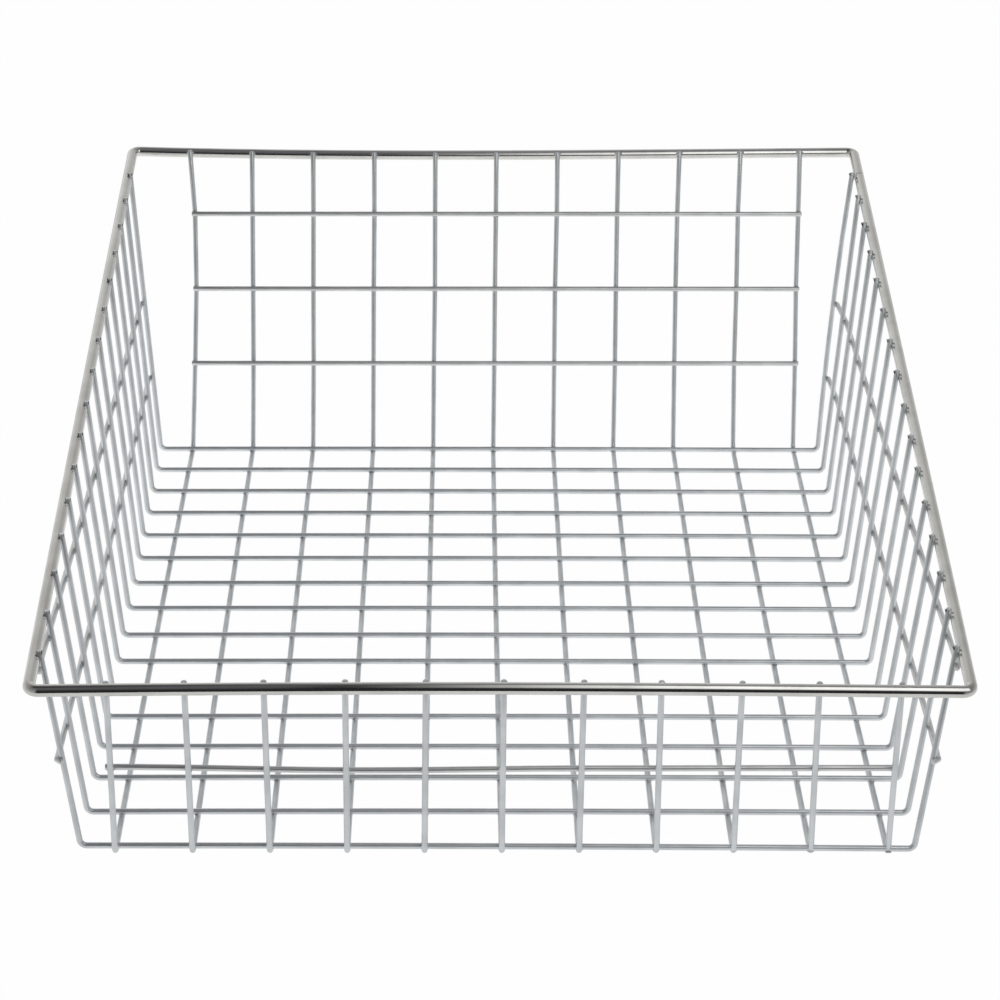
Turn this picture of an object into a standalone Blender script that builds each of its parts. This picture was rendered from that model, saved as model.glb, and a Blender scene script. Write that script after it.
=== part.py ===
"""Wire bakery tray: a welded wire mesh folded up into four leaning walls inside a sloping rim rod.

Metres, +Z up. The tray stands on z = 0 with its low front towards -Y, and the origin lies under the
middle of the rim's outline. Every wire, rail and the rim is its own piece, as cut and bent on a bench.
"""

import math

import bpy
from mathutils import Vector

TRAY = "wire_bakery_tray"

# Stock: round steel wire for the mesh and a thicker round rod for the rim
WIRE_RADIUS = 0.002
RIM_RADIUS = 0.004
WIRE_BEVEL_RESOLUTION = 2
RIM_BEVEL_RESOLUTION = 4

# What two pieces that are welded together keep between their faces
WELD_CLEARANCE = 0.0003

# The floor of the mesh
LONG_WIRE_COUNT = 11
CROSS_WIRE_COUNT = 16
LONG_WIRE_SPACING = 0.050
CROSS_WIRE_SPACING = 0.050

# The folds, from the last wire beside them to the corner that the bend rounds off
END_FOLD_SETBACK = 0.007
SIDE_FOLD_SETBACK = 0.0215
FOLD_RADIUS = 0.007
FOLD_STEPS = 5

# The front and back walls lean outwards by this angle
WALL_LEAN = math.radians(13)

# The rim rod, on its axis
RIM_BACK_HEIGHT = 0.2412
RIM_FRONT_HEIGHT = 0.1318
RIM_WIDTH = 0.596
RIM_CORNER_RADIUS = 0.014
RIM_CORNER_STEPS = 6

# How far the wires run on past the rim, from beside its axis, so that their cut ends stand at its top
END_PAST_RIM = 0.002

# Rails, measured down the wall from beside the rim's axis, which is lowest in front on the sides
BACK_RAIL_COUNT = 3
BACK_RAIL_BELOW_RIM = 0.0505
BACK_RAIL_SPACING = 0.062
FRONT_RAIL_BELOW_RIM = 0.0688
SIDE_RAIL_COUNT = 2
SIDE_RAIL_BELOW_RIM = 0.0085
SIDE_RAIL_SPACING = 0.0635

# How far rails run past the last wire that they tie
RAIL_END_PAST_WIRE = 0.0025
SIDE_RAIL_END_PAST_WIRE = 0.004

# Zinc plated wire, and the brighter rim
WIRE_COLOUR = (0.60, 0.62, 0.64, 1.0)
WIRE_ROUGHNESS = 0.30
RAIL_COLOUR = (0.58, 0.60, 0.62, 1.0)
RAIL_ROUGHNESS = 0.28
RIM_COLOUR = (0.66, 0.66, 0.65, 1.0)
RIM_ROUGHNESS = 0.18


def sides(bevel_resolution):
    """How many flat sides a round bevel has."""
    return 2 * (bevel_resolution + 2)


def flat_distance(radius, bevel_resolution):
    """From a rod's axis to the middle of one of its flat sides."""
    return radius * math.cos(math.pi / sides(bevel_resolution))


WIRE_FLAT = flat_distance(WIRE_RADIUS, WIRE_BEVEL_RESOLUTION)

# The long wires lie on the ground and the cross wires lie on them
LONG_WIRE_Z = WIRE_FLAT
CROSS_WIRE_Z = LONG_WIRE_Z + 2 * WIRE_FLAT + WELD_CLEARANCE

# Distances between axes where a piece seats on another's side
WIRE_TO_RIM = WIRE_FLAT + RIM_RADIUS + WELD_CLEARANCE
WIRE_TO_RAIL = WIRE_FLAT + WIRE_RADIUS + WELD_CLEARANCE

# Half of the floor, from its middle to the last wires and to the folds
LAST_LONG_WIRE_X = (LONG_WIRE_COUNT - 1) / 2 * LONG_WIRE_SPACING
LAST_CROSS_WIRE_Y = (CROSS_WIRE_COUNT - 1) / 2 * CROSS_WIRE_SPACING
END_FOLD_Y = LAST_CROSS_WIRE_Y + END_FOLD_SETBACK
SIDE_FOLD_X = LAST_LONG_WIRE_X + SIDE_FOLD_SETBACK


def wall_length(rim_height):
    """Up an end wall from its fold to the point beside the rim's axis at this height."""
    return (rim_height - LONG_WIRE_Z + WIRE_TO_RIM * math.sin(WALL_LEAN)) / math.cos(WALL_LEAN)


BACK_WALL_LENGTH = wall_length(RIM_BACK_HEIGHT)
FRONT_WALL_LENGTH = wall_length(RIM_FRONT_HEIGHT)


def rim_reach(length):
    """From the middle of the floor out to the rim's axis over an end wall of this length."""
    return END_FOLD_Y + length * math.sin(WALL_LEAN) + WIRE_TO_RIM * math.cos(WALL_LEAN)


RIM_BACK_Y = rim_reach(BACK_WALL_LENGTH)
RIM_FRONT_Y = -rim_reach(FRONT_WALL_LENGTH)
RIM_HALF_WIDTH = RIM_WIDTH / 2

# The high back leans further out than the low front, so the floor's middle lies off the rim's
FLOOR_MIDDLE_Y = -(RIM_BACK_Y + RIM_FRONT_Y) / 2


def rim_height(y):
    """The height of the rim's side rods at y, which fall in a straight line from back to front."""
    share = (y - RIM_FRONT_Y) / (RIM_BACK_Y - RIM_FRONT_Y)
    return RIM_FRONT_HEIGHT + (RIM_BACK_HEIGHT - RIM_FRONT_HEIGHT) * share


def leg_lean_and_length(y):
    """How a side leg at y leans out to lie against the rim's inner side, and its length up to there."""
    to_rim = Vector((RIM_HALF_WIDTH - SIDE_FOLD_X, rim_height(y) - CROSS_WIRE_Z))
    direct_lean = math.atan2(to_rim.x, to_rim.y)
    lean = direct_lean - math.asin(WIRE_TO_RIM / to_rim.length)
    return lean, math.sqrt(to_rim.length_squared - WIRE_TO_RIM ** 2)


def cross_wire_y(number):
    """The place of a cross wire, counted from the back."""
    return LAST_CROSS_WIRE_Y - number * CROSS_WIRE_SPACING


def rail_places(count, below_rim, spacing, wall):
    """Distances up a wall for its rails, from the lowest to the one nearest the rim."""
    top = wall - below_rim
    return [top - number * spacing for number in reversed(range(count))]


def bend(corner, arriving, leaving, radius, steps):
    """Points round a bend that takes the place of a sharp corner between two directions."""
    turn = arriving.angle(leaving)
    start = corner - arriving * radius * math.tan(turn / 2)
    inwards = (leaving - arriving * arriving.dot(leaving)).normalized()
    centre = start + inwards * radius
    points = []
    for step in range(steps + 1):
        angle = turn * step / steps
        points.append(centre + radius * (arriving * math.sin(angle) - inwards * math.cos(angle)))
    return points


def plated_steel(name, colour, roughness):
    """Bright plated steel in one piece's own material."""
    material = bpy.data.materials.new(name + "_plated_steel")
    material.use_nodes = True
    shader = material.node_tree.nodes["Principled BSDF"]
    shader.inputs["Base Color"].default_value = colour
    shader.inputs["Metallic"].default_value = 1.0
    shader.inputs["Roughness"].default_value = roughness
    return material


def rod(name, points, radius, bevel_resolution, material, closed=False):
    """A round rod through points, with square cut ends or closed on itself."""
    curve = bpy.data.curves.new(name, "CURVE")
    curve.dimensions = "3D"
    curve.bevel_depth = radius
    curve.bevel_resolution = bevel_resolution
    curve.use_fill_caps = not closed
    curve.materials.append(material)
    spline = curve.splines.new("POLY")
    spline.points.add(len(points) - 1)
    half_side = math.pi / sides(bevel_resolution)
    for target, point in zip(spline.points, points):
        target.co = (*point, 1)
        target.tilt = half_side
    spline.use_cyclic_u = closed
    spline.use_smooth = True
    piece = bpy.data.objects.new(name, curve)
    collection.objects.link(piece)
    piece.parent = floor_middle
    return piece


def wire(name, points):
    """A mesh wire."""
    material = plated_steel(name, WIRE_COLOUR, WIRE_ROUGHNESS)
    return rod(name, points, WIRE_RADIUS, WIRE_BEVEL_RESOLUTION, material)


def rail(name, points):
    """A horizontal wire that ties a wall together."""
    material = plated_steel(name, RAIL_COLOUR, RAIL_ROUGHNESS)
    return rod(name, points, WIRE_RADIUS, WIRE_BEVEL_RESOLUTION, material)


def clear_scene():
    """Removes what a new scene holds."""
    for existing in list(bpy.data.objects):
        bpy.data.objects.remove(existing)


def make_long_wires():
    """U wires from the front of the rim, down, under the floor and up to its back."""
    back_up = Vector((0, math.sin(WALL_LEAN), math.cos(WALL_LEAN)))
    front_up = Vector((0, -math.sin(WALL_LEAN), math.cos(WALL_LEAN)))
    along = Vector((0, 1, 0))
    front_corner = Vector((0, -END_FOLD_Y, LONG_WIRE_Z))
    back_corner = Vector((0, END_FOLD_Y, LONG_WIRE_Z))
    points = [front_corner + front_up * (FRONT_WALL_LENGTH + END_PAST_RIM)]
    points += bend(front_corner, -front_up, along, FOLD_RADIUS, FOLD_STEPS)
    points += bend(back_corner, along, back_up, FOLD_RADIUS, FOLD_STEPS)
    points.append(back_corner + back_up * (BACK_WALL_LENGTH + END_PAST_RIM))
    for number in range(LONG_WIRE_COUNT):
        piece = wire(f"long_wire_{number + 1:02d}", points)
        piece.location.x = number * LONG_WIRE_SPACING - LAST_LONG_WIRE_X


def make_cross_wires():
    """U wires from the left of the rim, down, across the floor and up to its right.

    The rim keeps its width while it falls, so each pair of legs leans more than the pair behind it.
    """
    across = Vector((1, 0, 0))
    left_corner = Vector((-SIDE_FOLD_X, 0, CROSS_WIRE_Z))
    right_corner = Vector((SIDE_FOLD_X, 0, CROSS_WIRE_Z))
    for number in range(CROSS_WIRE_COUNT):
        y = cross_wire_y(number)
        lean, length = leg_lean_and_length(y)
        left_up = Vector((-math.sin(lean), 0, math.cos(lean)))
        right_up = Vector((math.sin(lean), 0, math.cos(lean)))
        points = [left_corner + left_up * (length + END_PAST_RIM)]
        points += bend(left_corner, -left_up, across, FOLD_RADIUS, FOLD_STEPS)
        points += bend(right_corner, across, right_up, FOLD_RADIUS, FOLD_STEPS)
        points.append(right_corner + right_up * (length + END_PAST_RIM))
        piece = wire(f"cross_wire_{number + 1:02d}", points)
        piece.location.y = y


def make_end_rails(name, outwards, places):
    """Rails across the inner side of an end wall, whose way out is +1 at the back or -1 in front."""
    up = Vector((0, outwards * math.sin(WALL_LEAN), math.cos(WALL_LEAN)))
    inwards = Vector((0, -outwards * math.cos(WALL_LEAN), math.sin(WALL_LEAN)))
    corner = Vector((0, outwards * END_FOLD_Y, LONG_WIRE_Z))
    half_length = Vector((LAST_LONG_WIRE_X + RAIL_END_PAST_WIRE, 0, 0))
    for number, place in enumerate(places):
        piece = rail(f"{name}_{number + 1}", [-half_length, half_length])
        piece.location = corner + up * place + inwards * WIRE_TO_RAIL


def make_side_rails(name, side):
    """Rails along the outer side of the side legs, on the right for +1 and on the left for -1."""
    _, shortest = leg_lean_and_length(-LAST_CROSS_WIRE_Y)
    past = Vector((0, SIDE_RAIL_END_PAST_WIRE, 0))
    places = rail_places(SIDE_RAIL_COUNT, SIDE_RAIL_BELOW_RIM, SIDE_RAIL_SPACING, shortest)
    for number, place in enumerate(places):
        points = []
        for wire_number in range(CROSS_WIRE_COUNT):
            y = cross_wire_y(wire_number)
            lean, _ = leg_lean_and_length(y)
            up = Vector((side * math.sin(lean), 0, math.cos(lean)))
            outwards = Vector((side * math.cos(lean), 0, -math.sin(lean)))
            corner = Vector((side * SIDE_FOLD_X, y, CROSS_WIRE_Z))
            points.append(corner + up * place + outwards * WIRE_TO_RAIL)
        points[0] += past
        points[-1] -= past
        rail(f"{name}_{number + 1}", points)


def make_rim():
    """The rim rod, bent at four corners in one sloping plane and closed by a butt weld."""
    back_left = Vector((-RIM_HALF_WIDTH, RIM_BACK_Y, RIM_BACK_HEIGHT))
    back_right = Vector((RIM_HALF_WIDTH, RIM_BACK_Y, RIM_BACK_HEIGHT))
    front_right = Vector((RIM_HALF_WIDTH, RIM_FRONT_Y, RIM_FRONT_HEIGHT))
    front_left = Vector((-RIM_HALF_WIDTH, RIM_FRONT_Y, RIM_FRONT_HEIGHT))
    corners = [back_left, back_right, front_right, front_left]
    points = []
    for number, corner in enumerate(corners):
        arriving = (corner - corners[number - 1]).normalized()
        leaving = (corners[(number + 1) % len(corners)] - corner).normalized()
        points += bend(corner, arriving, leaving, RIM_CORNER_RADIUS, RIM_CORNER_STEPS)
    material = plated_steel("rim_rod", RIM_COLOUR, RIM_ROUGHNESS)
    rod("rim_rod", points, RIM_RADIUS, RIM_BEVEL_RESOLUTION, material, closed=True)


clear_scene()
collection = bpy.data.collections.new(TRAY)
bpy.context.scene.collection.children.link(collection)
floor_middle = bpy.data.objects.new("floor_middle", None)
floor_middle.location.y = FLOOR_MIDDLE_Y
collection.objects.link(floor_middle)

make_rim()
make_long_wires()
make_cross_wires()
make_end_rails("back_rail", 1, rail_places(BACK_RAIL_COUNT, BACK_RAIL_BELOW_RIM, BACK_RAIL_SPACING,
                                           BACK_WALL_LENGTH))
make_end_rails("front_rail", -1, [FRONT_WALL_LENGTH - FRONT_RAIL_BELOW_RIM])
make_side_rails("left_rail", -1)
make_side_rails("right_rail", 1)
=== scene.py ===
"""Looks of the wire bakery tray: round plated wire, its welds and the rim rod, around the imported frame.

Metres, +Z up, the low front towards -Y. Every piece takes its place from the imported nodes' boxes. Pairs of
values are for the front and the back, in this order, unless their comment says otherwise.
"""

import math
import random

import bmesh
import bpy
from mathutils import Matrix, Vector


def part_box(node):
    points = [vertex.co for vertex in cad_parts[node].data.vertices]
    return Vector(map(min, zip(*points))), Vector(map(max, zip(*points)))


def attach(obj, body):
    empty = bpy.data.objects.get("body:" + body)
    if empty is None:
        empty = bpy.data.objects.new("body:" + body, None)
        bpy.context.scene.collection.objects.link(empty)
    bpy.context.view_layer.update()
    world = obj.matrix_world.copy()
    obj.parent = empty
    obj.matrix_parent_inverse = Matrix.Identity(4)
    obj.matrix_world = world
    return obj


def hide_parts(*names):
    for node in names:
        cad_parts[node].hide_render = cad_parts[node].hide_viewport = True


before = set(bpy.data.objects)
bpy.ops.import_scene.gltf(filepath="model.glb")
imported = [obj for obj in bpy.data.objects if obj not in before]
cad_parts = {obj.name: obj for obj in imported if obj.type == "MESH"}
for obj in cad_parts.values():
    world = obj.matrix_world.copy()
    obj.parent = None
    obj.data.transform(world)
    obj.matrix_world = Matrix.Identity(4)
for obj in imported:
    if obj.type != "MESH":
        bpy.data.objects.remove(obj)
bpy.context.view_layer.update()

MM = 0.001
RIGHT = Vector((1, 0, 0))
FORWARD = Vector((0, -1, 0))
UP = Vector((0, 0, 1))

# Stock
WIRE_RADIUS = 2.0 * MM
RIM_RADIUS = 4.0 * MM
WIRE_SIDES = 16
RIM_SIDES = 28

# Counts and names
LONG_WIRES = 11
CROSS_WIRES = 16
SIDES = {"left": -1, "right": 1}
BACK_RAILS = ["back_rail_1", "back_rail_2", "back_rail_3"]
SIDE_RAIL_LEVELS = (1, 2)

# Folds of the mesh and bends of the rim
WALL_LEAN = math.radians(13)
FOLD_RADIUS = 7.0 * MM
SIDE_FOLD_RADIUS = 4.8 * MM
FOLD_STEPS = 8
SIDE_FOLD_SETBACK = 21.5 * MM
RIM_CORNER_RADIUS = 6.5 * MM
RIM_CORNER_STEPS = 12
STRAIGHT_STEP = 25.0 * MM
RAIL_STEPS = 24
FLOOR_RUN_STEPS = 12

# How deep the weld has let one wire sink into another, and a wire into the rim
WIRE_SET_DOWN = 0.6 * MM
RIM_SET_DOWN = 1.1 * MM

# Sheared ends are rounded a little
CUT_END_ROUNDING = 0.45 * MM
CUT_END_SEGMENTS = 2

# Hand work: how far the side folds and the long wires' floor runs lie to the right of their true places,
# and how far the floor runs bow to the left between their folds
FOLD_SHIFT = {"left": (-0.1 * MM, -4.3 * MM), "right": (-2.5 * MM, -1.9 * MM)}
FLOOR_RUN_SHIFT = (0.8 * MM, 0.1 * MM)
FLOOR_RUN_BOW = 0.5 * MM

# The tops of the end walls' uprights were pulled to the right when the rim went on. At the back they also
# spread outwards, and some uprights, counted from the left, went their own way.
WALL_TOP_SHIFT = (1.7 * MM, 2.3 * MM)
BACK_TOPS_SPREAD = 2.0 * MM
BACK_TOPS_OWN = {0: -0.8 * MM, 10: -1.4 * MM}
FRONT_TOPS_OWN = {1: -1.0 * MM, 2: -1.2 * MM, 4: 0.7 * MM, 5: -0.4 * MM,
                  7: -1.4 * MM, 8: -0.65 * MM, 9: -2.15 * MM, 10: -0.25 * MM}

# The back wall bulges out at its top rail, so the uprights stand steeper above it. Each wanders a little
# at the rails, and the leftmost is bent to the right there.
BACK_BULGE = 4.5 * MM
UPRIGHT_WANDER = 0.45 * MM
BENT_UPRIGHT = (1.7 * MM, 3.0 * MM, 2.6 * MM)

# Cross wires, counted from the back, that were welded behind (+) or in front of their even places. All lie
# a little forward, more so at both ends and on the right.
CROSS_MISPLACED = {0: -1.4 * MM, 1: -1.5 * MM, 2: -1.7 * MM, 3: -0.7 * MM, 5: 1.7 * MM, 6: 0.7 * MM,
                   7: 0.6 * MM, 8: -1.0 * MM, 10: 2.1 * MM, 11: 2.6 * MM, 12: 2.2 * MM, 13: 1.4 * MM,
                   14: -1.6 * MM, 15: -3.4 * MM}
CROSS_FORWARD = 0.7 * MM
CROSS_ENDS_FORWARD = 1.2 * MM
CROSS_RIGHT_FORWARD = 0.8 * MM
LAST_RIGHT_FORWARD = 2.4 * MM
CROSS_WANDER = 0.45 * MM

# The tops of the rear legs were pulled back along the rim: fully up to the first wire of the pair, counted
# from the back, and less and less up to the second. Some right legs went further.
LEG_PULLED_BACK = {"left": 12.0 * MM, "right": 14.0 * MM}
PULL_ENDS = (2, 8)
LEGS_OWN_PULL = {
    "left": {},
    "right": {0: 3.0 * MM, 1: 8.0 * MM, 2: 4.0 * MM, 3: 3.0 * MM, 4: 3.0 * MM,
              12: 2.0 * MM, 13: 2.0 * MM, 14: 6.0 * MM, 15: 12.0 * MM},
}

# How far a leg's axis passes inside the rod's, how far its end stands past it, and where its route has
# points, as shares of its height
LEG_TO_RIM = {"left": (4.4 * MM, 2.8 * MM), "right": (5.5 * MM, 5.4 * MM)}
LEG_PAST_RIM = 5.4 * MM
LEG_SHARES = (0.2, 0.4, 0.6, 0.8)

# Single legs that are bowed, or stand further in at the top or at the fold
LEG_BOWED_IN = {("right", 0): 2.2 * MM}
LEG_TOP_IN = {("right", 0): 1.2 * MM}
LEG_FOLD_IN = {("right", 15): 1.5 * MM}

# The front rail's waves, by share of its length: up (+) and down
FRONT_RAIL_WAVES = ((0.0, 1.2 * MM), (0.33, -1.4 * MM), (0.62, 0.1 * MM), (1.0, 0.5 * MM))

# The side rails' ends, by level, were pressed in past the first and last leg, and the back rails sit low
RAIL_END_IN = {1: 3.8 * MM, 2: 1.6 * MM}
BACK_RAILS_DOWN = 0.25 * MM

# The rim: its front corners stand in and the right one is low. Its front rod is bowed up, its back rod
# down, both most at a place left of their middles, and its side rods out.
RIM_FRONT_CORNER_IN = {"left": 1.3 * MM, "right": 2.8 * MM}
RIM_FRONT_RIGHT_DOWN = 0.5 * MM
RIM_BOW_UP = (1.8 * MM, -2.8 * MM)
RIM_BOW_LEFTWARD = (0.2, 0.5)
RIM_BOW_OUT = 0.32 * MM

# Where the rim rod's two ends were butt welded, on the right side rod near the back: a thin ring, set in
# a little so that it doesn't stand out of the rod's outer side, and a bead on the inner side
SEAM_Y = 379.0 * MM
SEAM_WIDTH = 1.1 * MM
SEAM_SHOULDERS = (-1, -0.4, 0.4, 1)
SEAM_HEIGHT = 0.1 * MM
SEAM_SET_IN = 0.15 * MM
SEAM_BEAD = (1.3 * MM, 2.6 * MM, 1.6 * MM)
SEAM_BEAD_OFFSET = (-3.4 * MM, -2.0 * MM, 2.4 * MM)

# Weld beads: half of their sizes along and across the wires and in thickness
WIRE_BEAD = (2.5 * MM, 2.5 * MM, 1.35 * MM)
UPRIGHT_BEAD = (2.9 * MM, 2.3 * MM, 2.0 * MM)
BEAD_SIDES = 8
BEAD_RINGS = 6
BEAD_UNEVENNESS = 0.16

# Burnt flash on a leg's top: two long beads that open upwards like a V, and a crumb of spatter. Here pairs
# are the least and the most of a range, and on the right the flash sits a little off the rod.
FLASH_BEAD = (1.6 * MM, 0.5 * MM, 0.7 * MM)
FLASH_SIZES = (0.8, 1.15)
FLASH_APART = 1.3 * MM
FLASH_FORWARD = 1.1 * MM
FLASH_ABOVE = 4.2 * MM
FLASH_LEAN = 0.40
FLASH_OFF_ROD = {"left": 0, "right": 0.9 * MM}
SPATTER_BEAD = 0.6 * MM
SPATTER_SIZES = (0.6, 1.2)
SPATTER_STRETCH = 1.4
SPATTER_FORWARD = (-1.6 * MM, 1.6 * MM)
SPATTER_ABOVE = (2.0 * MM, 4.4 * MM)
SPATTER_TO_ROD = (0.2, 1.0)

# Sides of a piece that meet at less than this look rounded
SMOOTH_UP_TO = math.radians(50)

# Clouds of duller plating, by noise value: where they begin and end in colour and in roughness. Ripples lie
# over them. Real draw marks and weld grain are finer than the 0.7 mm of a pixel, so the metals below have
# them coarser than they are, at sizes that show.
CLOUD_SIZE = 22.0 * MM
CLOUD_DETAIL = 4.0
CLOUD_COLOUR_EDGES = (0.35, 0.62)
CLOUD_ROUGHNESS_EDGES = {"From Min": 0.3, "From Max": 0.7}
RIPPLE_DETAIL = 2.0
RIPPLE_DEPTH = 0.1 * MM

# The camera, found from the wires of the photograph
CAMERA_PLACE = (-22.7 * MM, -2629.7 * MM, 1092.5 * MM)
CAMERA_YAW = math.radians(0.5475)
CAMERA_PITCH = math.radians(20.7425)
CAMERA_ROLL = math.radians(-0.245)
FOCAL_SHARE = 3.8271
SENSOR = 36.0
CLIP_NEAR = 0.05
CLIP_FAR = 50.0

# Settings that several shader nodes share
SMOOTH = {"interpolation_type": "SMOOTHSTEP"}
MULTIPLY = {"operation": "MULTIPLY"}

# The table ends in front of the tray. The metal sees it as a painted glow, which falls off to the front and
# outwards as painted shade, where less light falls on the real table.
TABLE_SIZE = 14.0
TABLE_FRONT_Y = -0.68
TABLE_GLOW_SHARE = 0.985
TABLE_BY_DEPTH = {"From Min": -0.6, "From Max": 0.5, "To Min": 0.74, "To Max": 0.97}
TABLE_BY_DISTANCE = {"From Min": 0.5, "From Max": 1.8, "To Min": 1.0, "To Max": 0.6}

# The softbox over the right half: front and back edges as Y and Z, and soft edges on the left and below
SOFTBOX_LEFT_X = -0.16
SOFTBOX_FULL_X = 0.26
SOFTBOX_RIGHT_X = 1.3
SOFTBOX_FRONT = (-1.08, 0.36)
SOFTBOX_BACK = (-0.54, 1.70)
SOFTBOX_SOFT_EDGE = 0.30
SOFTBOX_BRIGHTNESS = 1.3

# What the metal sees round the table, by the height of the way it looks: the backdrop, and the dark room
# straight in front of the tray (linear red, green, blue, alpha)
BACKDROP_TONES = [(0.0, (0.98, 0.985, 0.99, 1)), (0.18, (0.92, 0.92, 0.93, 1)),
                  (0.36, (0.72, 0.72, 0.72, 1)), (0.58, (0.58, 0.575, 0.57, 1)),
                  (0.80, (0.46, 0.455, 0.45, 1)), (0.93, (0.10, 0.10, 0.11, 1))]
ROOM_TONES = [(0.0, (0.020, 0.020, 0.021, 1)), (0.35, (0.035, 0.035, 0.037, 1)),
              (0.62, (0.11, 0.11, 0.12, 1)), (1.0, (0.10, 0.10, 0.11, 1))]

# Where the room turns into the backdrop, and how the backdrop dims to the front, to the right and on both
# sides of its brightest part behind the tray: parts of the level way looked, X to the right, Y to the back
ROOM_EDGE = {"From Min": -0.975, "From Max": -0.83}
BACKDROP_BY_DEPTH = {"From Min": -0.6, "From Max": 0.7, "To Min": 0.52, "To Max": 1.0}
BACKDROP_BY_SIDE = {"From Min": -0.15, "From Max": 0.35, "To Min": 1.0, "To Max": 0.75}
BACKDROP_BEHIND = {"From Min": 0.84, "From Max": 0.985, "To Min": 0.74, "To Max": 1.0}

# A lamp overhead on the right, by the height and the X of the way looked, as a gain on the room
LAMP_BY_HEIGHT = {"From Min": 0.80, "From Max": 0.93}
LAMP_BY_SIDE = {"From Min": -0.10, "From Max": 0.10, "To Max": 2.6}

hand = random.Random(11)


def srgb(code, alpha=1.0):
    """An sRGB hex colour as linear red, green, blue and alpha."""
    channels = []
    for place in (1, 3, 5):
        value = int(code[place:place + 2], 16) / 255
        channels.append(value / 12.92 if value <= 0.04045 else ((value + 0.055) / 1.055) ** 2.4)
    return (*channels, alpha)


WHITE = srgb("#FFFFFF")


def add_node(tree, kind, settings=None, inputs=None, links=None, stops=()):
    """Adds a shader node, sets it, its inputs and colour stops, and links other nodes' outputs into it."""
    node = tree.nodes.new(kind)
    for name, value in (settings or {}).items():
        setattr(node, name, value)
    for name, value in (inputs or {}).items():
        node.inputs[name].default_value = value
    for name, output in (links or {}).items():
        tree.links.new(output, node.inputs[name])
    for number, (position, colour) in enumerate(stops):
        elements = node.color_ramp.elements
        element = elements[number] if number < len(elements) else elements.new(position)
        element.position = position
        element.color = colour
    return node


def new_material(name):
    """A material without nodes, and its node tree."""
    material = bpy.data.materials.new(name)
    material.use_nodes = True
    material.node_tree.nodes.clear()
    return material, material.node_tree


def plated_metal(name, clean, cloudy, roughness, grain, ripple):
    """Electroplated steel: clouds of slightly duller plating and fine ripples from drawing and the bath."""
    material, tree = new_material(name)
    place = add_node(tree, "ShaderNodeTexCoord").outputs["Object"]
    clouds = add_node(tree, "ShaderNodeTexNoise", inputs={"Scale": 1 / CLOUD_SIZE, "Detail": CLOUD_DETAIL},
                      links={"Vector": place}).outputs["Fac"]
    ripples = add_node(tree, "ShaderNodeTexNoise", inputs={"Scale": 1 / grain, "Detail": RIPPLE_DETAIL},
                       links={"Vector": place}).outputs["Fac"]
    colour = add_node(tree, "ShaderNodeValToRGB", links={"Fac": clouds},
                      stops=zip(CLOUD_COLOUR_EDGES, (cloudy, clean))).outputs["Color"]
    smoothest, roughest = roughness
    rough = add_node(tree, "ShaderNodeMapRange",
                     inputs={**CLOUD_ROUGHNESS_EDGES, "To Min": roughest, "To Max": smoothest},
                     links={"Value": clouds}).outputs["Result"]
    bump = add_node(tree, "ShaderNodeBump", inputs={"Strength": ripple, "Distance": RIPPLE_DEPTH},
                    links={"Height": ripples}).outputs["Normal"]
    shader = add_node(tree, "ShaderNodeBsdfPrincipled", inputs={"Metallic": 1.0},
                      links={"Base Color": colour, "Roughness": rough, "Normal": bump})
    add_node(tree, "ShaderNodeOutputMaterial", links={"Surface": shader.outputs["BSDF"]})
    return material


# Bright zinc over drawn wire: bluish, softly shining, with faint draw ripples
ZINC_WIRE = plated_metal("zinc_plated_drawn_wire", clean=srgb("#E5E9EB"), cloudy=srgb("#D9DDDF"),
                         roughness=(0.38, 0.46), grain=5.0 * MM, ripple=0.01)
# The rails' wire comes from another coil: the same plating, a little brighter and less blue
ZINC_RAIL = plated_metal("zinc_plated_rail_wire", clean=srgb("#E8E9E9"), cloudy=srgb("#DCDDDD"),
                         roughness=(0.36, 0.44), grain=5.0 * MM, ripple=0.01)
# Nickel over polished rod: warmer and nearly mirror bright
BRIGHT_ROD = plated_metal("nickel_plated_rim_rod", clean=srgb("#E3E2DE"), cloudy=srgb("#D6D5D1"),
                          roughness=(0.12, 0.17), grain=9.0 * MM, ripple=0.02)
# Squeezed-out weld metal under the plating: uneven and half dull
WELD_METAL = plated_metal("plated_weld_metal", clean=srgb("#DCDFE0"), cloudy=srgb("#A9ABAC"),
                          roughness=(0.26, 0.42), grain=1.4 * MM, ripple=0.2)
# Weld metal and spatter burnt dark by the heat, with bright flecks
BURNT_METAL = plated_metal("burnt_weld_metal", clean=srgb("#9C9D9B"), cloudy=srgb("#45423F"),
                           roughness=(0.25, 0.45), grain=1.0 * MM, ripple=0.2)


def between(pair, share):
    """A value on the way from a pair's first to its second."""
    return pair[0] + (pair[1] - pair[0]) * share


def arched(share):
    """The height of a bow at a share of its length: 0 at both ends and 1 in the middle."""
    return 4 * share * (1 - share)


def waved(waves, share):
    """A smooth value at a share of a length, between pairs of share and value."""
    for (first, start), (last, end) in zip(waves, waves[1:]):
        if share <= last:
            way = (share - first) / (last - first)
            return between((start, end), (1 - math.cos(math.pi * way)) / 2)
    return waves[-1][1]


def bend(corner, arriving, leaving, radius, steps):
    """Points round a bend that takes the place of a sharp corner between two directions."""
    turn = arriving.angle(leaving)
    start = corner - arriving * radius * math.tan(turn / 2)
    inwards = (leaving - arriving * arriving.dot(leaving)).normalized()
    centre = start + inwards * radius
    points = []
    for step in range(steps + 1):
        angle = turn * step / steps
        points.append(centre + radius * (arriving * math.sin(angle) - inwards * math.cos(angle)))
    return points


def with_straights(points):
    """The same route with points added along its long straight runs."""
    route = [points[0]]
    for target in points[1:]:
        start = route[-1]
        steps = max(1, round((target - start).length / STRAIGHT_STEP))
        route += [start.lerp(target, step / steps) for step in range(1, steps + 1)]
    return route


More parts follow.
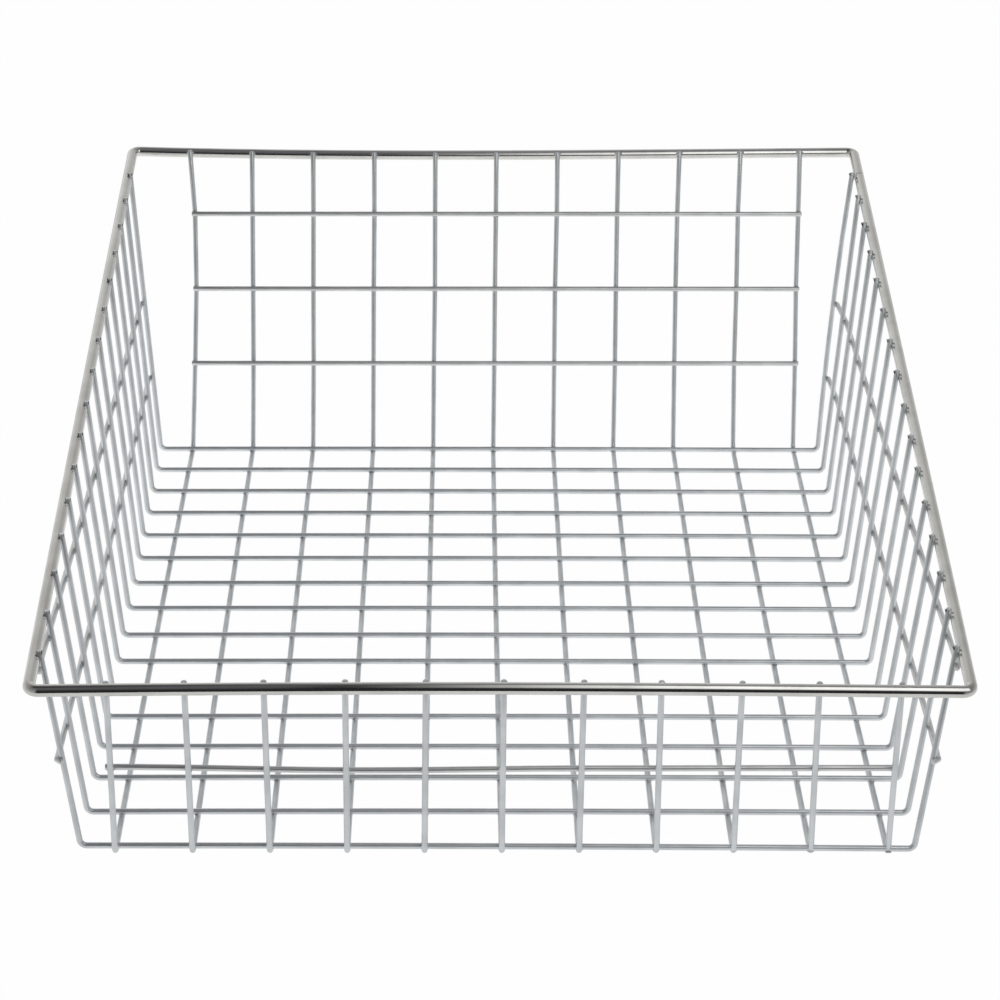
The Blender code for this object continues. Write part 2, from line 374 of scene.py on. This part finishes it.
def direction_at(route, number, closed=False):
    """The way that a route runs at one of its points."""
    count = len(route)
    before = route[number - 1] if number or closed else route[0]
    after = route[(number + 1) % count] if number < count - 1 or closed else route[-1]
    return (after - before).normalized()


def swept_rod(route, radius, sides):
    """A round rod along a route, made by extruding a disc from point to point, with rounded cut ends."""
    bm = bmesh.new()
    bmesh.ops.create_circle(bm, cap_ends=True, segments=sides, radius=radius)
    heading = direction_at(route, 0)
    turn = UP.rotation_difference(heading).to_matrix().to_4x4()
    bmesh.ops.transform(bm, matrix=Matrix.Translation(route[0]) @ turn, verts=bm.verts)
    end = bm.faces[:][0]
    first_edges = list(end.edges)
    for number in range(1, len(route)):
        grown = bmesh.ops.extrude_face_region(bm, geom=[end])["geom"]
        end = next(item for item in grown if isinstance(item, bmesh.types.BMFace))
        new_heading = direction_at(route, number)
        turn = heading.rotation_difference(new_heading).to_matrix().to_4x4()
        step = Matrix.Translation(route[number]) @ turn @ Matrix.Translation(-route[number - 1])
        bmesh.ops.transform(bm, matrix=step, verts=end.verts)
        heading = new_heading
    bmesh.ops.recalc_face_normals(bm, faces=bm.faces)
    rims = [edge for edge in first_edges if edge.is_valid] + list(end.edges)
    bmesh.ops.bevel(bm, geom=rims, offset=CUT_END_ROUNDING, segments=CUT_END_SEGMENTS, profile=0.5,
                    affect="EDGES", material=-1)
    return bm


def swept_ring(route, radius, sides):
    """A round rod along a route that closes on itself."""
    bm = bmesh.new()
    bmesh.ops.create_circle(bm, segments=sides, radius=radius)
    heading = direction_at(route, 0, closed=True)
    turn = UP.rotation_difference(heading).to_matrix().to_4x4()
    bmesh.ops.transform(bm, matrix=Matrix.Translation(route[0]) @ turn, verts=bm.verts)
    first = list(bm.edges)
    ring = first
    for number in range(1, len(route)):
        grown = bmesh.ops.extrude_edge_only(bm, edges=ring)["geom"]
        ring = [item for item in grown if isinstance(item, bmesh.types.BMEdge)]
        verts = [item for item in grown if isinstance(item, bmesh.types.BMVert)]
        new_heading = direction_at(route, number, closed=True)
        turn = heading.rotation_difference(new_heading).to_matrix().to_4x4()
        step = Matrix.Translation(route[number]) @ turn @ Matrix.Translation(-route[number - 1])
        bmesh.ops.transform(bm, matrix=step, verts=verts)
        heading = new_heading
    bmesh.ops.bridge_loops(bm, edges=first + ring)
    bmesh.ops.recalc_face_normals(bm, faces=bm.faces)
    return bm


def as_object(name, bm):
    """The shape as an object of the scene."""
    mesh = bpy.data.meshes.new(name)
    bm.to_mesh(mesh)
    bm.free()
    made = bpy.data.objects.new(name, mesh)
    bpy.context.scene.collection.objects.link(made)
    return made


def finish_piece(name, bm, material, nodes=()):
    """Makes the piece's object, smooth round its sides, hangs it on the root and hides the imported nodes it
    takes the place of.
    """
    piece = as_object(name, bm)
    piece.data.shade_smooth()
    piece.data.set_sharp_from_angle(angle=SMOOTH_UP_TO)
    piece.data.materials.append(material)
    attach(piece, "root")
    if nodes:
        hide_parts(*nodes)


def make_wire(name, route, material):
    """One wire along a route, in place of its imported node."""
    bm = swept_rod(with_straights(route), WIRE_RADIUS, WIRE_SIDES)
    finish_piece(name + "_zinc", bm, material, [name])


def middle(node):
    """The middle of a node's box."""
    low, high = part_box(node)
    return (low + high) / 2


def long_name(number):
    """The node of a long wire, counted from the left."""
    return f"long_wire_{number + 1:02d}"


def cross_name(number):
    """The node of a cross wire, counted from the back."""
    return f"cross_wire_{number + 1:02d}"


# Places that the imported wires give
LONG_LOW, LONG_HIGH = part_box(long_name(0))
LONG_Z = LONG_LOW.z + WIRE_RADIUS
CROSS_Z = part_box(cross_name(0))[0].z + WIRE_RADIUS - WIRE_SET_DOWN
LAST_LONG_X = middle(long_name(LONG_WIRES - 1)).x
FIRST_CROSS_Y = middle(cross_name(0)).y
LAST_CROSS_Y = middle(cross_name(CROSS_WIRES - 1)).y
FLOOR_MIDDLE_Y = (FIRST_CROSS_Y + LAST_CROSS_Y) / 2
SIDE_FOLD_X = LAST_LONG_X + SIDE_FOLD_SETBACK

BACK_END_Y = LONG_HIGH.y - WIRE_RADIUS * math.cos(WALL_LEAN)
BACK_END_Z = LONG_HIGH.z - WIRE_RADIUS * math.sin(WALL_LEAN)
BACK_FOLD_Y = BACK_END_Y - (BACK_END_Z - LONG_Z) * math.tan(WALL_LEAN)
FRONT_FOLD_Y = 2 * FLOOR_MIDDLE_Y - BACK_FOLD_Y
FRONT_END_Y = LONG_LOW.y + WIRE_RADIUS * math.cos(WALL_LEAN)
FRONT_END_Z = LONG_Z + (FRONT_FOLD_Y - FRONT_END_Y) / math.tan(WALL_LEAN)
BACK_WALL_OUT = Vector((0, math.cos(WALL_LEAN), -math.sin(WALL_LEAN)))
BACK_WALL_UP = Vector((0, math.sin(WALL_LEAN), math.cos(WALL_LEAN)))

RIM_LOW, RIM_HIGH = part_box("rim_rod")
RIM_X = RIM_HIGH.x - RIM_RADIUS
RIM_BACK_Y = RIM_HIGH.y - RIM_RADIUS
RIM_BACK_Z = RIM_HIGH.z - RIM_RADIUS
RIM_FRONT_Y = RIM_LOW.y + RIM_RADIUS
RIM_FRONT_Z = RIM_LOW.z + RIM_RADIUS

# Every wire's own small error, drawn once
CROSS_ERROR = [hand.uniform(-CROSS_WANDER, CROSS_WANDER) for _ in range(CROSS_WIRES)]
UPRIGHT_ERRORS = [[hand.uniform(-UPRIGHT_WANDER, UPRIGHT_WANDER) for _ in BACK_RAILS]
                  for _ in range(LONG_WIRES)]
UPRIGHT_ERRORS[0] = list(BENT_UPRIGHT)


def share_of_depth(y):
    """How far y lies along the floor, from 0 at the front fold to 1 at the back fold."""
    return (y - FRONT_FOLD_Y) / (BACK_FOLD_Y - FRONT_FOLD_Y)


def share_of_rim(y):
    """How far y lies along the rim's side rods, from 0 in front to 1 at the back."""
    return (y - RIM_FRONT_Y) / (RIM_BACK_Y - RIM_FRONT_Y)


def rim_bowed(point):
    """A point of the rim's axis after the rods have been bowed."""
    aside = point.x / RIM_X
    along = share_of_rim(point.y)
    crest = (1 - aside ** 2) * (1 - between(RIM_BOW_LEFTWARD, along) * aside)
    lift = crest * between(RIM_BOW_UP, along) - max(0, aside) * (1 - along) * RIM_FRONT_RIGHT_DOWN
    return point + Vector((RIM_BOW_OUT * arched(along) * aside, 0, lift))


def rim_side(side, y):
    """The axis of the left or right side rod at y."""
    along = share_of_rim(y)
    x = RIM_X - RIM_FRONT_CORNER_IN[side] * (1 - along)
    return rim_bowed(Vector((SIDES[side] * x, y, between((RIM_FRONT_Z, RIM_BACK_Z), along))))


def floor_x(number, y):
    """The place of a long wire's floor run at y."""
    share = share_of_depth(y)
    return middle(long_name(number)).x + between(FLOOR_RUN_SHIFT, share) - FLOOR_RUN_BOW * arched(share)


def cross_y(number, x):
    """The place of a cross wire's floor run at x."""
    right_forward = LAST_RIGHT_FORWARD if number == CROSS_WIRES - 1 else CROSS_RIGHT_FORWARD
    off = CROSS_ERROR[number] + CROSS_MISPLACED.get(number, 0) - CROSS_FORWARD
    aside = x / SIDE_FOLD_X
    return middle(cross_name(number)).y + off - right_forward * aside - CROSS_ENDS_FORWARD * aside ** 2


def rail_share(rail):
    """How far up the back wall a rail crosses it."""
    return (middle(rail).z - WIRE_RADIUS * 2 * math.sin(WALL_LEAN) - LONG_Z) / (BACK_END_Z - LONG_Z)


def front_upright(number):
    """The corner and the cut end of a long wire's front upright."""
    corner = Vector((floor_x(number, FRONT_FOLD_Y), FRONT_FOLD_Y, LONG_Z))
    x = middle(long_name(number)).x + WALL_TOP_SHIFT[0] + FRONT_TOPS_OWN.get(number, 0)
    lift = rim_bowed(Vector((x, RIM_FRONT_Y, 0))).z
    return corner, Vector((x, FRONT_END_Y - RIM_SET_DOWN, FRONT_END_Z + lift))


def back_upright(number):
    """The points of a long wire's back upright: its corner, its crossings with the rails and its cut end."""
    corner = Vector((floor_x(number, BACK_FOLD_Y), BACK_FOLD_Y, LONG_Z))
    spread = BACK_TOPS_SPREAD * (2 * number / (LONG_WIRES - 1) - 1) + BACK_TOPS_OWN.get(number, 0)
    x = middle(long_name(number)).x + WALL_TOP_SHIFT[1] + spread
    lift = rim_bowed(Vector((x, RIM_BACK_Y, 0))).z
    end = Vector((x, BACK_END_Y + RIM_SET_DOWN, BACK_END_Z + lift))
    top_share = rail_share(BACK_RAILS[-1])
    points = [corner]
    for rail, error in zip(BACK_RAILS, UPRIGHT_ERRORS[number]):
        share = rail_share(rail)
        aside = RIGHT * (error + spread * (share ** 3 - share))
        points.append(corner.lerp(end, share) + BACK_WALL_OUT * BACK_BULGE * share / top_share + aside)
    return points + [end]


def fold(side, number):
    """Where a cross wire's floor run and its leg would meet without their bend."""
    y = cross_y(number, SIDES[side] * SIDE_FOLD_X)
    x = SIDES[side] * SIDE_FOLD_X + between(FOLD_SHIFT[side], share_of_depth(y))
    return Vector((x - LEG_FOLD_IN.get((side, number), 0), y, CROSS_Z))


def leg_top(side, number):
    """The middle of the cut end of a cross wire's leg, a little above the rim's axis."""
    start = fold(side, number)
    easing = min(1, max(0, (PULL_ENDS[1] - number) / (PULL_ENDS[1] - PULL_ENDS[0])))
    pulled = LEG_PULLED_BACK[side] * easing + LEGS_OWN_PULL[side].get(number, 0)
    rod = rim_side(side, start.y + pulled)
    beside = rod - RIGHT * SIDES[side] * between(LEG_TO_RIM[side], share_of_depth(start.y))
    beside.x -= LEG_TOP_IN.get((side, number), 0)
    return beside + (beside - start).normalized() * LEG_PAST_RIM


def leg_at(side, number, height):
    """The axis of a leg at a height, and the way it runs up."""
    start, top = fold(side, number), leg_top(side, number)
    share = (height - start.z) / (top.z - start.z)
    bow = RIGHT * LEG_BOWED_IN.get((side, number), 0) * arched(share)
    return start.lerp(top, share) - bow, (top - start).normalized()


def side_rail_points(side, level):
    """Where a side rail's axis passes the legs, from the back to the front."""
    height = middle(f"{side}_rail_{level}").z
    points = []
    for number in range(CROSS_WIRES):
        place, up = leg_at(side, number, height)
        outwards = Vector((SIDES[side] * up.z, 0, -SIDES[side] * up.x))
        points.append(place + outwards * (2 * WIRE_RADIUS - WIRE_SET_DOWN))
    return points


def make_long_wires():
    """U wires that run up the front wall, under the floor and up the back wall."""
    for number in range(LONG_WIRES):
        front_corner, front_end = front_upright(number)
        back_corner, *back_points = back_upright(number)
        down = (front_corner - front_end).normalized()
        along = (back_corner - front_corner).normalized()
        up = (back_points[0] - back_corner).normalized()
        route = [front_end]
        route += bend(front_corner, down, along, FOLD_RADIUS, FOLD_STEPS)
        for step in range(1, FLOOR_RUN_STEPS):
            y = between((FRONT_FOLD_Y, BACK_FOLD_Y), step / FLOOR_RUN_STEPS)
            route.append(Vector((floor_x(number, y), y, LONG_Z)))
        route += bend(back_corner, along, up, FOLD_RADIUS, FOLD_STEPS)
        route += back_points
        make_wire(long_name(number), route, ZINC_WIRE)


def make_cross_wires():
    """U wires that run up the left wall, across the floor and up the right wall."""
    floor_xs = [middle(long_name(number)).x for number in range(LONG_WIRES)]
    for number in range(CROSS_WIRES):
        left_corner, right_corner = fold("left", number), fold("right", number)
        floor = [Vector((x, cross_y(number, x), CROSS_Z)) for x in floor_xs]
        legs = {}
        for side in SIDES:
            heights = (LONG_Z, rim_side(side, left_corner.y).z)
            legs[side] = [leg_at(side, number, between(heights, share))[0] for share in LEG_SHARES]
        down = (left_corner - legs["left"][0]).normalized()
        inwards = (floor[0] - left_corner).normalized()
        outwards = (right_corner - floor[-1]).normalized()
        up = (legs["right"][0] - right_corner).normalized()
        route = [leg_top("left", number)] + legs["left"][::-1]
        route += bend(left_corner, down, inwards, SIDE_FOLD_RADIUS, FOLD_STEPS)
        route += floor
        route += bend(right_corner, outwards, up, SIDE_FOLD_RADIUS, FOLD_STEPS)
        route += legs["right"] + [leg_top("right", number)]
        make_wire(cross_name(number), route, ZINC_WIRE)


def make_back_rails():
    """Rails across the inner side of the back wall, from beside its first upright to past its last."""
    inwards = -BACK_WALL_OUT * (2 * WIRE_RADIUS - WIRE_SET_DOWN) - UP * BACK_RAILS_DOWN
    for level, name in enumerate(BACK_RAILS):
        first, last = back_upright(0)[level + 1], back_upright(LONG_WIRES - 1)[level + 1]
        past = RIGHT * (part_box(name)[1].x - LAST_LONG_X)
        make_wire(name, [first + inwards - past, last + inwards + past], ZINC_RAIL)


def make_front_rail():
    """The rail across the inner side of the front wall."""
    name = "front_rail_1"
    low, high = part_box(name)
    centre = middle(name) + FORWARD * WIRE_SET_DOWN
    route = []
    for step in range(RAIL_STEPS + 1):
        share = step / RAIL_STEPS
        rise = waved(FRONT_RAIL_WAVES, share)
        y = centre.y - math.tan(WALL_LEAN) * rise
        route.append(Vector((between((low.x, high.x), share), y, centre.z + rise)))
    make_wire(name, route, ZINC_RAIL)


def make_side_rails():
    """Rails along the outer side of the side legs."""
    for side in SIDES:
        for level in SIDE_RAIL_LEVELS:
            name = f"{side}_rail_{level}"
            low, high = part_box(name)
            route = side_rail_points(side, level)
            pressed_in = -RIGHT * SIDES[side] * RAIL_END_IN[level]
            to_back = (route[0] - route[1]).normalized() * (high.y - FIRST_CROSS_Y)
            to_front = (route[-1] - route[-2]).normalized() * (LAST_CROSS_Y - low.y)
            route = [route[0] + to_back + pressed_in, *route, route[-1] + to_front + pressed_in]
            make_wire(name, route, ZINC_RAIL)


def make_rim():
    """The rim rod, bent at four corners and bowed a little."""
    corners = [
        Vector((-RIM_X, RIM_BACK_Y, RIM_BACK_Z)),
        Vector((RIM_X, RIM_BACK_Y, RIM_BACK_Z)),
        Vector((RIM_X - RIM_FRONT_CORNER_IN["right"], RIM_FRONT_Y, RIM_FRONT_Z)),
        Vector((-RIM_X + RIM_FRONT_CORNER_IN["left"], RIM_FRONT_Y, RIM_FRONT_Z)),
    ]
    route = []
    for number, corner in enumerate(corners):
        arriving = (corner - corners[number - 1]).normalized()
        leaving = (corners[(number + 1) % len(corners)] - corner).normalized()
        route += bend(corner, arriving, leaving, RIM_CORNER_RADIUS, RIM_CORNER_STEPS)
    route = [rim_bowed(point) for point in with_straights(route + [route[0]])[:-1]]
    bm = swept_ring(route, RIM_RADIUS, RIM_SIDES)
    finish_piece("rim_rod_nickel", bm, BRIGHT_ROD, ["rim_rod"])


def add_bead(bm, place, first, second, sizes):
    """A squeezed, uneven weld bead with its half sizes along two directions and across both."""
    third = first.cross(second).normalized()
    second = third.cross(first).normalized()
    turned = Matrix((first.normalized(), second, third)).transposed().to_4x4()
    matrix = Matrix.Translation(place) @ turned @ Matrix.Diagonal((*sizes, 1))
    made = bmesh.ops.create_uvsphere(bm, u_segments=BEAD_SIDES, v_segments=BEAD_RINGS, radius=1,
                                     matrix=matrix)
    for vert in made["verts"]:
        vert.co += (vert.co - place) * hand.uniform(-BEAD_UNEVENNESS, BEAD_UNEVENNESS)


def make_rim_seam():
    """The butt weld that closes the rim rod: a thin ring round it and a small bead on its inner side."""
    place = rim_side("right", SEAM_Y) - RIGHT * SEAM_SET_IN
    along = (rim_side("right", SEAM_Y + WIRE_RADIUS) - rim_side("right", SEAM_Y)).normalized()
    route = [place + along * SEAM_WIDTH / 2 * share for share in SEAM_SHOULDERS]
    finish_piece("rim_seam", swept_rod(route, RIM_RADIUS + SEAM_HEIGHT, RIM_SIDES), BURNT_METAL)
    bm = bmesh.new()
    add_bead(bm, place + Vector(SEAM_BEAD_OFFSET), UP, along, SEAM_BEAD)
    finish_piece("rim_seam_bead", bm, BRIGHT_ROD)


def make_floor_welds():
    """A bead at every crossing of the floor."""
    bm = bmesh.new()
    for cross in range(CROSS_WIRES):
        for number in range(LONG_WIRES):
            y = cross_y(cross, middle(long_name(number)).x)
            place = Vector((floor_x(number, y), y, (LONG_Z + CROSS_Z) / 2))
            add_bead(bm, place, RIGHT, -FORWARD, WIRE_BEAD)
    finish_piece("floor_welds", bm, WELD_METAL)


def make_wall_welds():
    """Beads where the rails cross the uprights of the back and front walls."""
    bm = bmesh.new()
    rail = middle("front_rail_1")
    for number in range(LONG_WIRES):
        for point in back_upright(number)[1:-1]:
            place = point - BACK_WALL_OUT * (2 * WIRE_RADIUS - WIRE_SET_DOWN) / 2
            add_bead(bm, place, RIGHT, BACK_WALL_UP, WIRE_BEAD)
        corner, end = front_upright(number)
        share = (rail.z - corner.z) / (end.z - corner.z)
        place = corner.lerp(end, share).lerp(Vector((corner.x, rail.y, rail.z)), 0.5)
        add_bead(bm, place, RIGHT, (end - corner).normalized(), WIRE_BEAD)
    finish_piece("end_wall_welds", bm, WELD_METAL)


def make_side_welds():
    """Beads where the side rails cross the legs."""
    bm = bmesh.new()
    for side in SIDES:
        for level in SIDE_RAIL_LEVELS:
            height = middle(f"{side}_rail_{level}").z
            for number, rail in enumerate(side_rail_points(side, level)):
                leg, up = leg_at(side, number, height)
                add_bead(bm, leg.lerp(rail, 0.5), -FORWARD, up, WIRE_BEAD)
    finish_piece("side_wall_welds", bm, WELD_METAL)


def add_leg_weld(bm, wire, rod, up):
    """Burnt flash like a V on the front of a leg's top, and a crumb of spatter beside it."""
    for sign in (-1, 1):
        aside = RIGHT * sign
        place = wire + aside * FLASH_APART + FORWARD * FLASH_FORWARD + up * FLASH_ABOVE
        lean = (up + aside * FLASH_LEAN).normalized()
        add_bead(bm, place, lean, RIGHT, [length * hand.uniform(*FLASH_SIZES) for length in FLASH_BEAD])
    to_rod = (rod - wire).normalized()
    place = wire + FORWARD * hand.uniform(*SPATTER_FORWARD) + up * hand.uniform(*SPATTER_ABOVE)
    size = SPATTER_BEAD * hand.uniform(*SPATTER_SIZES)
    place += to_rod * WIRE_RADIUS * hand.uniform(*SPATTER_TO_ROD)
    add_bead(bm, place, to_rod, FORWARD, (size, size, size * SPATTER_STRETCH))


def make_leg_welds():
    """Burnt flash where the legs meet the rim."""
    bm = bmesh.new()
    for side in SIDES:
        for number in range(CROSS_WIRES):
            top = leg_top(side, number)
            up = (top - fold(side, number)).normalized()
            wire = top - up * LEG_PAST_RIM - RIGHT * FLASH_OFF_ROD[side]
            add_leg_weld(bm, wire, rim_side(side, wire.y), up)
    finish_piece("leg_welds", bm, BURNT_METAL)


def make_upright_welds():
    """Plated beads where the tops of the uprights meet the rim's front and back rods."""
    bm = bmesh.new()
    for number in range(LONG_WIRES):
        front, back = front_upright(number), back_upright(number)[-2:]
        for (start, top), rod_y, rod_z in ((front, RIM_FRONT_Y, RIM_FRONT_Z), (back, RIM_BACK_Y, RIM_BACK_Z)):
            up = (top - start).normalized()
            rod = rim_bowed(Vector((top.x, rod_y, rod_z)))
            seat = top - up * UPRIGHT_BEAD[2]
            to_rod = Vector((0, rod.y - seat.y, 0)).normalized()
            add_bead(bm, seat + to_rod * WIRE_RADIUS / 2, RIGHT, to_rod, UPRIGHT_BEAD)
    finish_piece("upright_welds", bm, WELD_METAL)


def shown_to_eye_or_metal(tree):
    """1 for a ray from the camera or from a shiny or clear surface, and 0 for light on its way."""
    path = add_node(tree, "ShaderNodeLightPath")
    total = path.outputs["Is Camera Ray"]
    for name in ("Is Glossy Ray", "Is Transmission Ray"):
        total = add_node(tree, "ShaderNodeMath", {"operation": "ADD", "use_clamp": True},
                         links={0: total, 1: path.outputs[name]}).outputs["Value"]
    return total


def make_table():
    """A plain white table that ends a little way in front of the tray, as its metal shows."""
    bm = bmesh.new()
    bmesh.ops.create_grid(bm, x_segments=1, y_segments=1, size=TABLE_SIZE / 2)
    bmesh.ops.translate(bm, verts=bm.verts, vec=(0, TABLE_FRONT_Y + TABLE_SIZE / 2, 0))
    table = as_object("white_table", bm)
    # White laminate, matt. Camera and metal see a painted glow in place of its light: even white for the
    # camera, and for the metal a glow that dims to the front and outwards as painted shade. Its matt paint
    # still takes the tray's shadow.
    material, tree = new_material("white_laminate_and_painted_glow")
    seen = shown_to_eye_or_metal(tree)
    glowing = add_node(tree, "ShaderNodeMath", MULTIPLY, {1: TABLE_GLOW_SHARE}, {0: seen})
    paint = add_node(tree, "ShaderNodeBsdfDiffuse", inputs={"Color": srgb("#F3F3F3")})
    place = add_node(tree, "ShaderNodeTexCoord").outputs["Object"]
    y = add_node(tree, "ShaderNodeSeparateXYZ", links={"Vector": place}).outputs["Y"]
    distance = add_node(tree, "ShaderNodeVectorMath", {"operation": "LENGTH"}, links={0: place})
    # Painted shade: the glow that the metal sees dims towards the front and outwards
    by_depth = add_node(tree, "ShaderNodeMapRange", SMOOTH, TABLE_BY_DEPTH, {"Value": y})
    by_distance = add_node(tree, "ShaderNodeMapRange", SMOOTH, TABLE_BY_DISTANCE,
                           {"Value": distance.outputs["Value"]})
    painted_glow_in_metal = add_node(tree, "ShaderNodeMath", MULTIPLY,
                        links={0: by_depth.outputs["Result"], 1: by_distance.outputs["Result"]})
    to_eye = add_node(tree, "ShaderNodeLightPath")
    strength = add_node(tree, "ShaderNodeMath", {"operation": "MAXIMUM"},
                        links={0: painted_glow_in_metal.outputs["Value"], 1: to_eye.outputs["Is Camera Ray"]})
    glow = add_node(tree, "ShaderNodeEmission", inputs={"Color": WHITE},
                    links={"Strength": strength.outputs["Value"]})
    mix = add_node(tree, "ShaderNodeMixShader", links={0: glowing.outputs["Value"], 1: paint.outputs["BSDF"],
                                                       2: glow.outputs["Emission"]})
    add_node(tree, "ShaderNodeOutputMaterial", links={"Surface": mix.outputs["Shader"]})
    table.data.materials.append(material)


def make_studio():
    """White for the camera. For the metal, a pale backdrop behind and beside the tray, brightest low down
    and behind it, with a dark room straight in front and a lamp overhead on the right."""
    world = bpy.data.worlds.new("studio")
    world.use_nodes = True
    bpy.context.scene.world = world
    tree = world.node_tree
    tree.nodes.clear()
    way = add_node(tree, "ShaderNodeTexCoord").outputs["Generated"]
    parts = add_node(tree, "ShaderNodeSeparateXYZ", links={"Vector": way}).outputs
    flat = add_node(tree, "ShaderNodeVectorMath", MULTIPLY, {1: (1, 1, 0)}, {0: way}).outputs[0]
    level = add_node(tree, "ShaderNodeVectorMath", {"operation": "NORMALIZE"}, links={0: flat}).outputs[0]
    heading = add_node(tree, "ShaderNodeSeparateXYZ", links={"Vector": level}).outputs
    backdrop = add_node(tree, "ShaderNodeValToRGB", links={"Fac": parts["Z"]}, stops=BACKDROP_TONES)
    room = add_node(tree, "ShaderNodeValToRGB", links={"Fac": parts["Z"]}, stops=ROOM_TONES)
    fades = [("Y", ROOM_EDGE), ("Y", BACKDROP_BY_DEPTH), ("X", BACKDROP_BY_SIDE), ("Y", BACKDROP_BEHIND)]
    around, paleness, *others = [
        add_node(tree, "ShaderNodeMapRange", SMOOTH, fade, {"Value": heading[axis]}).outputs["Result"]
        for axis, fade in fades]
    for share in others:
        paleness = add_node(tree, "ShaderNodeMath", MULTIPLY, links={0: paleness, 1: share}).outputs["Value"]
    # A Mix node takes its two numbers at sockets 2 and 3 and its two colours at 6 and 7
    both = add_node(tree, "ShaderNodeMix", {"data_type": "RGBA"},
                    links={0: around, 6: room.outputs["Color"], 7: backdrop.outputs["Color"]}).outputs[2]
    strength = add_node(tree, "ShaderNodeMix", {"data_type": "FLOAT"}, {2: 1.0}, {0: around, 3: paleness})
    overhead = add_node(tree, "ShaderNodeMapRange", SMOOTH, LAMP_BY_HEIGHT, {"Value": parts["Z"]})
    lamp = add_node(tree, "ShaderNodeMapRange", SMOOTH, LAMP_BY_SIDE, {"Value": parts["X"]})
    lift = add_node(tree, "ShaderNodeMath", {"operation": "MULTIPLY_ADD"}, {2: 1.0},
                    {0: overhead.outputs["Result"], 1: lamp.outputs["Result"]})
    strength = add_node(tree, "ShaderNodeMath", MULTIPLY,
                        links={0: strength.outputs[0], 1: lift.outputs["Value"]})
    studio = add_node(tree, "ShaderNodeBackground",
                      links={"Color": both, "Strength": strength.outputs["Value"]})
    white = add_node(tree, "ShaderNodeBackground", inputs={"Color": WHITE})
    path = add_node(tree, "ShaderNodeLightPath")
    mix = add_node(tree, "ShaderNodeMixShader", links={0: path.outputs["Is Camera Ray"],
                                                       1: studio.outputs["Background"],
                                                       2: white.outputs["Background"]})
    add_node(tree, "ShaderNodeOutputWorld", links={"Surface": mix.outputs["Shader"]})


def make_softbox():
    """A softbox over the right half, in front and overhead, that fades in from its left and lower edges."""
    front, back = Vector((0, *SOFTBOX_FRONT)), Vector((0, *SOFTBOX_BACK))
    width = SOFTBOX_RIGHT_X - SOFTBOX_LEFT_X
    depth = back - front
    up = depth.normalized()
    centre = (front + back) / 2 + RIGHT * (SOFTBOX_LEFT_X + width / 2)
    turned = Matrix((RIGHT, up, RIGHT.cross(up))).transposed().to_4x4()
    placed = Matrix.Translation(centre) @ turned @ Matrix.Diagonal((width, depth.length, 1, 1))
    # A square of one metre, stretched to the softbox's width and depth
    bm = bmesh.new()
    bmesh.ops.create_grid(bm, x_segments=1, y_segments=1, size=0.5)
    bmesh.ops.transform(bm, matrix=placed, verts=bm.verts)
    softbox = as_object("softbox", bm)
    softbox.visible_camera = False
    # Diffuser cloth lit from within: even white that fades at two edges
    material, tree = new_material("lit_diffuser_cloth")
    place = add_node(tree, "ShaderNodeTexCoord").outputs["Object"]
    parts = add_node(tree, "ShaderNodeSeparateXYZ", links={"Vector": place}).outputs
    from_left = add_node(tree, "ShaderNodeMapRange", SMOOTH,
                         {"From Min": SOFTBOX_LEFT_X, "From Max": SOFTBOX_FULL_X,
                          "To Max": SOFTBOX_BRIGHTNESS}, {"Value": parts["X"]})
    from_below = add_node(tree, "ShaderNodeMapRange", SMOOTH,
                          {"From Min": SOFTBOX_FRONT[1], "From Max": SOFTBOX_FRONT[1] + SOFTBOX_SOFT_EDGE},
                          {"Value": parts["Z"]})
    strength = add_node(tree, "ShaderNodeMath", MULTIPLY,
                        links={0: from_left.outputs["Result"], 1: from_below.outputs["Result"]})
    glow = add_node(tree, "ShaderNodeEmission", inputs={"Color": WHITE},
                    links={"Strength": strength.outputs["Value"]})
    add_node(tree, "ShaderNodeOutputMaterial", links={"Surface": glow.outputs["Emission"]})
    softbox.data.materials.append(material)


def make_camera():
    """The camera at the photograph's angle, for a square frame."""
    camera = bpy.data.cameras.new("camera")
    camera.sensor_fit = "HORIZONTAL"
    camera.sensor_width = SENSOR
    camera.lens = FOCAL_SHARE * SENSOR
    camera.clip_start = CLIP_NEAR
    camera.clip_end = CLIP_FAR
    level = math.cos(CAMERA_PITCH)
    forward = Vector((math.sin(CAMERA_YAW) * level, math.cos(CAMERA_YAW) * level, -math.sin(CAMERA_PITCH)))
    right = forward.cross(UP).normalized()
    down = forward.cross(right)
    rolled_right = math.cos(CAMERA_ROLL) * right + math.sin(CAMERA_ROLL) * down
    rolled_down = -math.sin(CAMERA_ROLL) * right + math.cos(CAMERA_ROLL) * down
    turned = Matrix((rolled_right, -rolled_down, -forward)).transposed().to_4x4()
    holder = bpy.data.objects.new("camera", camera)
    holder.matrix_world = Matrix.Translation(CAMERA_PLACE) @ turned
    bpy.context.scene.collection.objects.link(holder)
    bpy.context.scene.camera = holder
    bpy.context.scene.view_settings.view_transform = "Standard"


make_camera()
make_table()
make_studio()
make_softbox()
make_rim()
make_rim_seam()
make_long_wires()
make_cross_wires()
make_back_rails()
make_front_rail()
make_side_rails()
make_floor_welds()
make_wall_welds()
make_side_welds()
make_leg_welds()
make_upright_welds()
